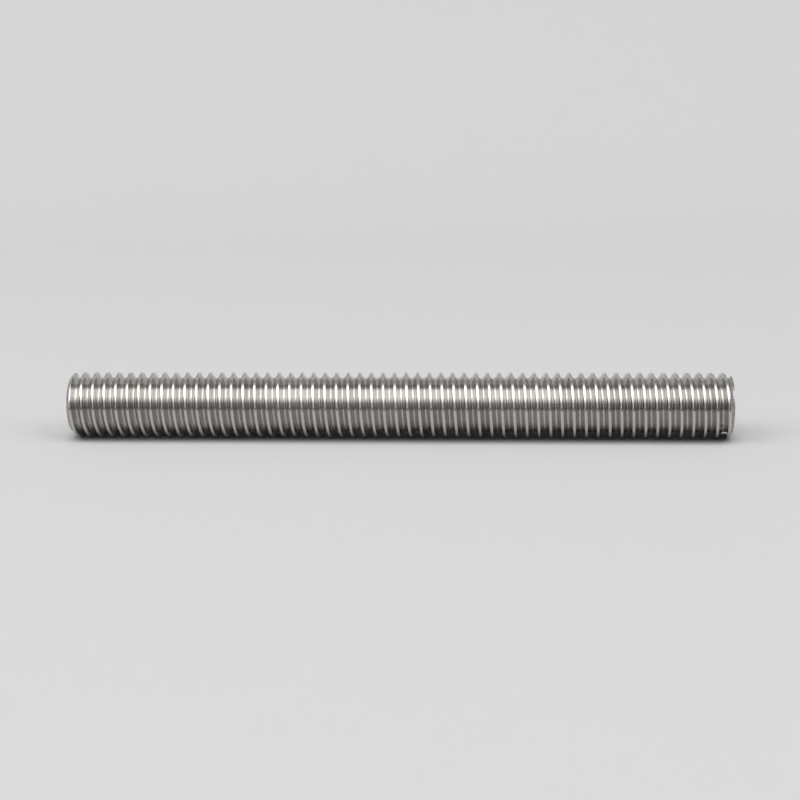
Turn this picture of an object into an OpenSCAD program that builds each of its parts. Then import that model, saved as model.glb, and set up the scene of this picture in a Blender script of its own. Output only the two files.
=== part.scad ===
// Fully threaded rod: metric coarse thread, cut to length, chamfered at both ends.
// One solid piece that lies along X and touches the floor at z = 0.
// The thread is single-start and right-hand, with flat crests, straight flanks and flat roots.
// All sizes are in millimetres.

/* [Rod] */
// length between the two end faces
rod_length = 39.8; // [20:0.2:46]
// diameter over the thread crests
crest_d = 3.9; // [3.7:0.02:4.1]

/* [Thread] */
// distance along the rod from one crest to the next
pitch = 0.7; // [0.6:0.05:0.9]
// angle between the two flanks of a groove, in degrees
thread_angle = 60; // [50:1:65]
// depth of the groove below the crests, along the radius
groove_depth = 0.33; // [0.26:0.01:0.38]
// width of the flat crest left between two grooves, along the rod
crest_width = 0.17; // [0.1:0.01:0.24]
// turn of the whole thread about the rod, in degrees
thread_start = 196; // [0:1:359]

/* [Ends] */
// diameter of the flat end faces
end_face_d = 3.4; // [2.6:0.05:3.6]
// slope of the end chamfers from the rod's axis, in degrees
chamfer_angle = 45; // [30:5:60]

/* [Parts] */
// which sub-part to draw

/* [Hidden] */
$fn = 96;
steel = [0.70, 0.69, 0.66];
crest_r = crest_d / 2;
end_face_r = end_face_d / 2;

// the groove narrows from its mouth to a flat root
mouth_width = pitch - crest_width;
root_r = crest_r - groove_depth;
root_width = mouth_width - 2 * groove_depth * tan(thread_angle / 2);

// one pitch of the thread's outline, as [place along the rod from the groove's middle, radius];
// the flat crest runs from the last corner to the first one of the next pitch
outline = [
    [-mouth_width / 2, crest_r],
    [-root_width / 2, root_r],
    [root_width / 2, root_r],
    [mouth_width / 2, crest_r]
];
corners = len(outline);

// the blank is wider than the crests, so only its cones cut the thread
blank_spare = 0.1;
blank_r = crest_r + blank_spare;
cone_length = (blank_r - end_face_r) / tan(chamfer_angle);

// turns of thread, enough to run out past both end faces
run_out = 1.2;
turns = ceil(rod_length / pitch + run_out);
// facets round one turn, fewer on a rod with many turns
facet_budget = 12000;
most_turn_facets = 24;
turn_facets = min(most_turn_facets, floor(facet_budget / (2 * corners * turns)));
thread_from = (rod_length - (turns + 1) * pitch) / 2;

// rows of corners on each of the lines that run along the thread; the first line is one pitch longer,
// because the last facet of a turn joins it one pitch further on
rows = turns * corners + 1;
first_rows = rows + corners;

function corner_number(step, row) =
    step == 0 ? row
    : step == turn_facets ? row + corners
    : first_rows + (step - 1) * rows + row;

function corner_point(step, row) =
    let (
        corner = outline[row % corners],
        turn = floor(row / corners) + step / turn_facets,
        angle = 360 * step / turn_facets
    )
    [thread_from + (turn + 0.5) * pitch + corner[0], corner[1] * cos(angle), corner[1] * sin(angle)];

// the thread as one closed surface: facets along the helix, and a cap at each end
module thread_ridges() {
    points = concat(
        [for (row = [0:first_rows - 1]) corner_point(0, row)],
        [for (step = [1:turn_facets - 1]) for (row = [0:rows - 1]) corner_point(step, row)],
        [[thread_from, 0, 0], [thread_from + (turns + 1) * pitch, 0, 0]]
    );
    start_hub = len(points) - 2;
    end_hub = len(points) - 1;
    last = rows - 1;
    flanks = [
        for (step = [0:turn_facets - 1]) for (row = [0:last - 1])
            for (half = [0, 1])
                half == 0
                ? [corner_number(step, row), corner_number(step, row + 1), corner_number(step + 1, row)]
                : [corner_number(step + 1, row), corner_number(step, row + 1), corner_number(step + 1, row + 1)]
    ];
    start_cap = concat(
        [for (step = [0:turn_facets - 1]) [start_hub, corner_number(step, 0), corner_number(step + 1, 0)]],
        [for (row = [0:corners - 1]) [start_hub, row + 1, row]]
    );
    end_cap = concat(
        [for (step = [0:turn_facets - 1]) [end_hub, corner_number(step + 1, last), corner_number(step, last)]],
        [for (row = [last:last + corners - 1]) [end_hub, row, row + 1]]
    );
    polyhedron(points, concat(flanks, start_cap, end_cap));
}

// a bar round the thread, with the cone of a chamfer at each end; it is turned half a facet,
// so the line where its surface closes on itself lies between the thread's corners
module chamfered_blank() {
    rotate([0, 90, 0])
    rotate([0, 0, 180 / turn_facets])
    rotate_extrude()
    polygon([
        [0, 0],
        [end_face_r, 0],
        [blank_r, cone_length],
        [blank_r, rod_length - cone_length],
        [end_face_r, rod_length],
        [0, rod_length]
    ]);
}

module threaded_rod() {
    color(steel)
    translate([-rod_length / 2, 0, crest_r])
    intersection() {
        chamfered_blank();
        rotate([thread_start, 0, 0])
        thread_ridges();
    }
}

threaded_rod();
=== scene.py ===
import math

import bpy
from mathutils import Matrix, Vector


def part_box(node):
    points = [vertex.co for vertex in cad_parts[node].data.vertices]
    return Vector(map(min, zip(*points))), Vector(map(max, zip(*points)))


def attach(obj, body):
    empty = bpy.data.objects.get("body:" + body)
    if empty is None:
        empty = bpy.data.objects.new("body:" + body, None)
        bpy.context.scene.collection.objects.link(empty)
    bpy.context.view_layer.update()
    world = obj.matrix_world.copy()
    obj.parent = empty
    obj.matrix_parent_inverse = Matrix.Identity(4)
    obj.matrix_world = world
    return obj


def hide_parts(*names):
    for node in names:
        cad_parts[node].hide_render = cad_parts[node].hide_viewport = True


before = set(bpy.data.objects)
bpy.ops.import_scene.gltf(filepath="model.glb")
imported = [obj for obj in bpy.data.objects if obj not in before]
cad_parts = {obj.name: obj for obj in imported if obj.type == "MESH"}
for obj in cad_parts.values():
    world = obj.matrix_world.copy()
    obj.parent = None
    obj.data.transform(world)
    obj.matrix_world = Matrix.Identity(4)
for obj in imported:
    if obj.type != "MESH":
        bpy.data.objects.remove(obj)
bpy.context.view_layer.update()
bpy.ops.object.select_all(action="DESELECT")

# ---------------------------------------------------------------------------
# Threaded rod
# A short length of stainless steel bar whose whole surface is a rolled, right-hand M4 coarse
# thread. Two rollers press the groove in and leave a narrow land between the turns. The bar is
# then sheared to length, and a coned tool gives each end a small chamfer.
# ---------------------------------------------------------------------------
rod_low, rod_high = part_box("threaded_rod")
left_end, right_end = rod_low[0], rod_high[0]
rod_length = right_end - left_end
crest_radius = (rod_high[2] - rod_low[2]) / 2
axis_height = (rod_high[2] + rod_low[2]) / 2

pitch = 0.7e-3
groove_depth = 0.33e-3
land_width = 0.15e-3
root_width = 0.08e-3
# each wall is steep below the land and lies flatter under its knee
knee_depth = 0.20e-3
knee_span = 0.39e-3
# no corner is sharp: how far each rounding reaches from its corner
shoulder_round, knee_round, root_round = 0.025e-3, 0.05e-3, 0.03e-3
chamfer = 0.21e-3
# the angle at which the thread starts, and how many points draw one turn of it
thread_start = 196
turn_points = 64

# the thread runs out past both ends, as on the bar before it is cut
run_out_turns = 1.2
turns = math.ceil(rod_length / pitch + run_out_turns)
first_land = left_end + (rod_length - (turns + 1) * pitch) / 2 - thread_start / 360 * pitch

# the roller's tooth: a flat tip and two sides, drawn as an open line from shoulder to shoulder
groove_middle = first_land + pitch / 2
groove_from = first_land + land_width / 2
groove_to = first_land + pitch - land_width / 2
knee_radius = crest_radius - knee_depth
root_radius = crest_radius - groove_depth
bpy.ops.mesh.primitive_plane_add(size=1, location=(0, 0, 0))
rod = bpy.context.object
rod.name = "rolled_thread"
bpy.ops.object.mode_set(mode="EDIT")
bpy.ops.mesh.delete(type="ONLY_FACE")
bpy.ops.mesh.select_all(action="SELECT")
bpy.ops.transform.resize(value=(root_width, knee_radius - root_radius, 1))
bpy.ops.transform.translate(value=(groove_middle, (knee_radius + root_radius) / 2, 0))
bpy.ops.mesh.select_mode(type="VERT")
bpy.ops.object.mode_set(mode="OBJECT")

# two places nearer than this are the same corner
same_place = 1e-7


def pick(chosen):
    """Selects only the rod's corners for which chosen(place) is true."""
    bpy.ops.object.mode_set(mode="EDIT")
    bpy.ops.mesh.select_all(action="DESELECT")
    bpy.ops.object.mode_set(mode="OBJECT")
    for corner in rod.data.vertices:
        corner.select = chosen(corner.co)
    bpy.ops.object.mode_set(mode="EDIT")


# the line is open at the top, and its two sides are leant out to the knees
pick(lambda place: place.y > knee_radius - same_place)
bpy.ops.mesh.delete(type="EDGE")
pick(lambda place: place.y > knee_radius - same_place)
bpy.ops.transform.resize(value=(knee_span / root_width, 1, 1), center_override=(groove_middle, 0, 0))

# then on each side the steep wall and half a land
for side, shoulder in ((-1, groove_from), (1, groove_to)):
    knee = groove_middle + side * knee_span / 2
    pick(lambda place: abs(place.x - knee) < same_place)
    bpy.ops.mesh.extrude_region_move(TRANSFORM_OT_translate={"value": (shoulder - knee, knee_depth, 0)})
    bpy.ops.mesh.extrude_region_move(TRANSFORM_OT_translate={"value": (side * land_width / 2, 0, 0)})

# the corners are rounded from the shoulders down
pick(lambda place: abs(place.x - groove_from) < same_place or abs(place.x - groove_to) < same_place)
bpy.ops.mesh.bevel(offset=shoulder_round, segments=3, affect="VERTICES", profile=0.5)
pick(lambda place: abs(abs(place.x - groove_middle) - knee_span / 2) < same_place)
bpy.ops.mesh.bevel(offset=knee_round, segments=2, affect="VERTICES", profile=0.5)
pick(lambda place: place.y < root_radius + same_place)
bpy.ops.mesh.bevel(offset=root_round, segments=3, affect="VERTICES", profile=0.5)
bpy.ops.object.mode_set(mode="OBJECT")

screw = rod.modifiers.new("thread", "SCREW")
screw.axis = "X"
screw.angle = 2 * math.pi
screw.screw_offset = pitch
screw.iterations = turns + 1
screw.steps = screw.render_steps = turn_points
screw.use_smooth_shade = True
bpy.ops.object.modifier_apply(modifier=screw.name)
bpy.ops.object.mode_set(mode="EDIT")
bpy.ops.mesh.select_all(action="SELECT")
bpy.ops.mesh.remove_doubles(threshold=2 * same_place)
bpy.ops.object.mode_set(mode="OBJECT")


def trim(place, outward):
    """Cuts the active object at a flat plane, drops what lies outward of it and closes the cut."""
    bpy.ops.object.mode_set(mode="EDIT")
    bpy.ops.mesh.select_all(action="SELECT")
    bpy.ops.mesh.bisect(plane_co=place, plane_no=outward, use_fill=True, clear_outer=True, threshold=1e-8)
    bpy.ops.object.mode_set(mode="OBJECT")


def combine(operation, other):
    """Cuts the rod by the other object or joins it on, and removes the other."""
    bpy.ops.object.select_all(action="DESELECT")
    rod.select_set(True)
    bpy.context.view_layer.objects.active = rod
    boolean = rod.modifiers.new(other.name, "BOOLEAN")
    boolean.operation = operation
    boolean.solver = "EXACT"
    boolean.object = other
    bpy.ops.object.modifier_apply(modifier=boolean.name)
    bpy.data.objects.remove(other)


# sheared to length
trim((left_end, 0, 0), (-1, 0, 0))
trim((right_end, 0, 0), (1, 0, 0))

# the chamfering tool's form: a bar a little wider and longer than the rod, with a cone at each end
tool_spare, tool_overhang, tool_sides = 0.02e-3, 0.5e-3, 192
bpy.ops.mesh.primitive_cylinder_add(
    vertices=tool_sides, radius=crest_radius + tool_spare, depth=rod_length + 2 * tool_overhang,
    rotation=(0, math.pi / 2, 0), location=((left_end + right_end) / 2, 0, 0))
tool = bpy.context.object
tool.name = "chamfering_tool"
bpy.ops.object.transform_apply(location=True, rotation=True, scale=True)
bpy.ops.object.mode_set(mode="EDIT")
bpy.ops.mesh.select_all(action="DESELECT")
bpy.ops.mesh.select_mode(type="FACE")
bpy.ops.object.mode_set(mode="OBJECT")
for face in tool.data.polygons:
    face.select = abs(face.normal.x) > 0.9
bpy.ops.object.mode_set(mode="EDIT")
bpy.ops.mesh.bevel(offset=chamfer + tool_spare + tool_overhang, segments=1, affect="EDGES", profile=0.5)
bpy.ops.object.mode_set(mode="OBJECT")
combine("INTERSECT", tool)
bpy.ops.object.mode_set(mode="EDIT")
bpy.ops.mesh.select_all(action="SELECT")
bpy.ops.transform.translate(value=(0, 0, axis_height))
bpy.ops.mesh.normals_make_consistent(inside=False)
bpy.ops.object.mode_set(mode="OBJECT")

# the shears left one small curl of metal across the last groove, low on the front at the right
# end: a quarter of a ring that lies on the crests, its ends let into them
curl_rise, curl_inset = math.radians(-48), 0.63e-3
curl_reach, curl_wire, curl_sink = 0.29e-3, 0.045e-3, 0.02e-3
bpy.ops.mesh.primitive_torus_add(
    major_segments=48, minor_segments=12, major_radius=curl_reach, minor_radius=curl_wire,
    location=(0, 0, 0))
curl = bpy.context.object
curl.name = "curl"
trim((-curl_wire, 0, 0), (-1, 0, 0))
trim((0, -curl_wire, 0), (0, -1, 0))
curl_radius = crest_radius - curl_sink
curl.rotation_euler = (math.pi / 2 - curl_rise, 0, 0)
curl.location = (
    right_end - curl_inset,
    -curl_radius * math.cos(curl_rise),
    axis_height + curl_radius * math.sin(curl_rise))
bpy.ops.object.transform_apply(location=True, rotation=True, scale=True)
combine("UNION", curl)

bpy.ops.object.shade_smooth_by_angle(angle=math.radians(28))
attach(rod, "root")
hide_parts("threaded_rod")


class Reading:
    """A number that changes over a surface, with Python's operators standing for Math nodes."""

    def __init__(self, socket):
        self.socket = socket

    def run(self, operation, *others):
        values = {0: self, **{i + 1: other for i, other in enumerate(others)}}
        return finish.node("ShaderNodeMath", {"operation": operation}, values)[0]

    def __add__(self, other):
        return self.run("ADD", other)

    def __sub__(self, other):
        return self.run("SUBTRACT", other)

    def __mul__(self, other):
        return self.run("MULTIPLY", other)

    def __truediv__(self, other):
        return self.run("DIVIDE", other)

    def __rsub__(self, other):
        return (self * -1) + other

    __radd__, __rmul__ = __add__, __mul__

    def ramp(self, low, high):
        """0 at low, 1 at high, smoothly between."""
        return finish.node("ShaderNodeMapRange", {"interpolation_type": "SMOOTHSTEP", "clamp": True},
                           {"Value": self, "From Min": low, "From Max": high})[0]


class Finish:
    """One material and the way its nodes are added."""

    def __init__(self, name):
        self.material = bpy.data.materials.new(name)
        self.material.use_nodes = True
        self.tree = self.material.node_tree
        self.tree.nodes.clear()

    def node(self, kind, settings=None, values=None):
        """Adds a node, sets it up, sets or links its inputs, and gives back all its outputs."""
        made = self.tree.nodes.new(kind)
        for key, value in (settings or {}).items():
            setattr(made, key, value)
        for key, value in (values or {}).items():
            if isinstance(value, Reading):
                self.tree.links.new(value.socket, made.inputs[key])
            else:
                made.inputs[key].default_value = value
        return [Reading(out) for out in made.outputs]

    def mix(self, share, colour, other):
        """The colour where the share is 0, the other where it is 1."""
        return self.node("ShaderNodeMix", {"data_type": "RGBA"}, {0: share, 6: colour, 7: other})[2]

    def cover(self, piece, surface):
        """Ends the material in this surface and puts it on the piece."""
        self.node("ShaderNodeOutputMaterial", {}, {"Surface": surface})
        piece.data.materials.clear()
        piece.data.materials.append(self.material)


# rolled stainless steel: bright crests, a duller groove whose colour is darker and browner in uneven
# patches, the darkening a painted shade in the recess and the brown a tint, and grainy chamfers
finish = Finish("rolled_stainless")
crest_tint, shaded_groove_tint = (0.560, 0.542, 0.522, 1), (0.445, 0.429, 0.408, 1)
scuffed_tint = (0.24, 0.24, 0.236, 1)
rolling_height, pit_height, coarse_height = 0.65e-6, 0.25e-6, 14e-6
plain_dullness, pit_dullness, sheared_dullness, groove_dullness = 0.10, 0.08, 0.2, 0.04
place = finish.node("ShaderNodeTexCoord")[3]
x, y, z = finish.node("ShaderNodeSeparateXYZ", {}, {0: place})[:3]
up = z - axis_height
depth = (crest_radius - (y * y + up * up).run("SQRT")) / groove_depth
to_end = rod_length / 2 - x.run("ABSOLUTE")


def grain(size, detail, roughness, stretch=(1, 1, 1)):
    """Noise whose patches are about size metres across, drawn out along each axis by stretch."""
    scaled = finish.node("ShaderNodeVectorMath", {"operation": "DIVIDE"}, {0: place, 1: stretch})[0]
    return finish.node("ShaderNodeTexNoise", {"noise_dimensions": "3D"},
                       {"Vector": scaled, "Scale": 1 / size, "Detail": detail, "Roughness": roughness})[0]


# the rollers' marks run round the rod
rolling = grain(0.03e-3, 3.0, 0.6, (1, 30, 30))
pits = grain(0.05e-3, 3.0, 0.6)
speckle = grain(0.12e-3, 2.0, 0.7)
groove_patches = grain(1.6e-3, 3.0, 0.6, (1, 2, 2))
# painted shade: the groove's colour is darker and browner than the crests', more so in some patches than
# others
in_groove = depth.ramp(0.05, 0.5)
groove_shade_and_tint = in_groove * (0.5 + groove_patches.ramp(0.35, 0.65) * 0.5)
sheared = 1 - to_end.ramp(chamfer * 0.8, chamfer * 1.15)
# the end faces are smoother than the chamfers round them
end_face = 1 - to_end.ramp(1e-6, 6e-6)
coarse = sheared * (1 - end_face * 0.75)
scuffed = coarse * speckle.ramp(0.42, 0.62) + end_face * 0.25

tint = finish.mix(scuffed, finish.mix(groove_shade_and_tint, crest_tint, shaded_groove_tint), scuffed_tint)
height = rolling * rolling_height + pits * (pit_height + coarse * coarse_height)
bump = finish.node("ShaderNodeBump", {}, {"Strength": 1.0, "Distance": 1.0, "Height": height})[0]
dullness = plain_dullness + pits * pit_dullness + sheared * sheared_dullness + in_groove * groove_dullness
steel = finish.node("ShaderNodeBsdfPrincipled", {}, {
    "Base Color": tint, "Metallic": 1.0, "Roughness": dullness, "Normal": bump})[0]
finish.cover(rod, steel)

# ---------------------------------------------------------------------------
# Floor and backdrop
# One sheet of pale paper that lies level under the rod, bends up behind it and hangs straight.
# ---------------------------------------------------------------------------
sweep_front, sweep_bend, sweep_wide = -0.047, 0.07, 1.6
bend_radius, sweep_top = 0.12, 0.45
bpy.ops.mesh.primitive_plane_add(size=1, location=(0, 0, 0))
sweep = bpy.context.object
sweep.name = "paper_sweep"
bpy.ops.object.mode_set(mode="EDIT")
bpy.ops.mesh.select_all(action="SELECT")
bpy.ops.transform.resize(value=(sweep_wide, sweep_bend - sweep_front, 1))
bpy.ops.transform.translate(value=(0, (sweep_bend + sweep_front) / 2, 0))
bpy.ops.object.mode_set(mode="OBJECT")
for vertex in sweep.data.vertices:
    vertex.select = vertex.co.y > 0
for edge in sweep.data.edges:
    edge.select = all(sweep.data.vertices[v].select for v in edge.vertices)
for face in sweep.data.polygons:
    face.select = False
bpy.ops.object.mode_set(mode="EDIT")
bpy.ops.mesh.spin(steps=48, angle=math.pi / 2, center=(0, sweep_bend, bend_radius), axis=(-1, 0, 0))
bpy.ops.mesh.extrude_region_move(TRANSFORM_OT_translate={"value": (0, 0, sweep_top - bend_radius)})
bpy.ops.mesh.select_all(action="SELECT")
bpy.ops.mesh.normals_make_consistent(inside=False)
bpy.ops.object.mode_set(mode="OBJECT")
bpy.ops.object.shade_smooth_by_angle(angle=math.radians(30))

# painted contact shadow: the paper's colour is darkened where the rod meets it and little light gets in;
# and painted shade: in the steel's reflections alone the paper is darkened towards its front edge, where the
# dark room begins
finish = Finish("pale_paper")
paper_tint, shade_tint = (0.553, 0.553, 0.553, 1), (0, 0, 0, 1)
crease_reach, fade_from = 1.2e-3, -0.006
# how dark the painted contact shadow is, how much of it the steel's reflections lose, and how dark the
# painted front shade is
crease_shade, crease_relief, front_shade = 0.66, 0.4, 0.9
# painted contact shadow: the paper is darkened where little of the room is open to it near the rod
openness = finish.node("ShaderNodeAmbientOcclusion", {"samples": 8}, {"Distance": crease_reach})[1]
painted_crease_shadow = 1 - openness.ramp(0.0, 0.9)
in_steel = finish.node("ShaderNodeLightPath")[3]
# painted shade: towards its front edge the paper is darkened, and only the steel's reflections show it
towards_front = finish.node("ShaderNodeSeparateXYZ", {}, {0: finish.node("ShaderNodeTexCoord")[3]})[1]
front = (1 - towards_front.ramp(sweep_front, fade_from)) * in_steel
shade = painted_crease_shadow * (crease_shade - in_steel * crease_relief) + front * front_shade
paper = finish.node("ShaderNodeBsdfPrincipled", {}, {
    "Base Color": finish.mix(shade, paper_tint, shade_tint), "Roughness": 0.9, "Specular IOR Level": 0.1})[0]
finish.cover(sweep, paper)

# ---------------------------------------------------------------------------
# Studio light
# Softboxes above and in front of the rod, larger ones to its sides, and the dim room around it.
# ---------------------------------------------------------------------------
world = bpy.data.worlds.new("room")
bpy.context.scene.world = world
world.use_nodes = True
air = world.node_tree.nodes["Background"]
air.inputs["Color"].default_value = (1, 1, 1, 1)
# pale like the paper where the camera looks past it, and nearly dark for the light
room_light, room_seen = 0.05, 0.66
seen = world.node_tree.nodes.new("ShaderNodeLightPath")
brightness = world.node_tree.nodes.new("ShaderNodeMapRange")
brightness.inputs["To Min"].default_value = room_light
brightness.inputs["To Max"].default_value = room_seen
world.node_tree.links.new(seen.outputs["Is Camera Ray"], brightness.inputs["Value"])
world.node_tree.links.new(brightness.outputs["Result"], air.inputs["Strength"])


def softbox(name, low, high, left, right, radiance, distance=0.6):
    """A flat lamp, placed by the angles in degrees at which the rod sees it.

    It reaches from low to high in elevation, where over 90 is behind the rod, and from left to
    right along it.
    """
    rise, run = math.radians((low + high) / 2), math.radians((left + right) / 2)
    way = Vector((math.sin(run), -math.cos(run) * math.cos(rise), math.cos(run) * math.sin(rise)))
    along = Vector((math.cos(run), math.sin(run) * math.cos(rise), -math.sin(run) * math.sin(rise)))
    tall = 2 * distance * math.tan(math.radians((high - low) / 2)) * math.cos(run)
    wide = 2 * distance * math.tan(math.radians((right - left) / 2))
    bpy.ops.object.light_add(type="AREA")
    lamp = bpy.context.object
    lamp.name = name
    lamp.matrix_world = Matrix((along, way.cross(along), way)).transposed().to_4x4()
    lamp.location = way * distance
    lamp.data.shape = "RECTANGLE"
    lamp.data.size, lamp.data.size_y = wide, tall
    lamp.data.energy = radiance * math.pi * wide * tall


# the main lamp, and the weaker ones that soften its edges
softbox("strip", 35, 86, -20, 14, 1.55)
softbox("strip_low", 32, 52, -20, 14, 1.05)
softbox("strip_edge", 24, 34, -18, 12, 0.9)
softbox("low_strip", 5, 34, -18, 12, 0.62)
softbox("dim_strip", -1, 5, -18, 12, 0.3)
softbox("broad", 48, 92, -34, 34, 1.1)
# the sides
softbox("left_box", 40, 91, -62, -30, 3.3)
softbox("right_box", 40, 91, 30, 62, 2.6)
softbox("left_wall", 12, 91, -86, -60, 0.9)
softbox("right_wall", 12, 91, 60, 86, 0.8)
# above and behind
softbox("overhead", 91, 106, -60, 60, 0.45)
softbox("behind", 106, 128, -60, 60, 0.2)

# ---------------------------------------------------------------------------
# Camera
# It stands in front of the rod, a little to the right, and looks down at it.
# ---------------------------------------------------------------------------
azimuth, elevation, camera_distance = math.radians(3.4), math.radians(15), 93.7e-3
lens, sensor = 69.75, 36
aim_right, aim_above = 0.10e-3, 0.29e-3
away = Vector((
    math.sin(azimuth) * math.cos(elevation), -math.cos(azimuth) * math.cos(elevation), math.sin(elevation)))
across = Vector((0, 0, 1)).cross(away).normalized()
above = away.cross(across)
# the rod is seen almost level, so the camera is rolled by the slant that its own height would give
slant = math.radians(0.10)
roll = math.atan2(-above.x, across.x) - slant
camera_right = across * math.cos(roll) - above * math.sin(roll)
camera_up = above * math.cos(roll) + across * math.sin(roll)
aim = Vector((aim_right, 0, axis_height)) + camera_up * aim_above
bpy.ops.object.camera_add()
camera = bpy.context.object
camera.name = "camera"
camera.matrix_world = Matrix((camera_right, camera_up, away)).transposed().to_4x4()
camera.location = aim + away * camera_distance
camera.data.sensor_width = sensor
camera.data.lens = lens
camera.data.clip_start, camera.data.clip_end = 0.005, 10
bpy.context.scene.camera = camera
bpy.context.scene.view_settings.view_transform = "Standard"
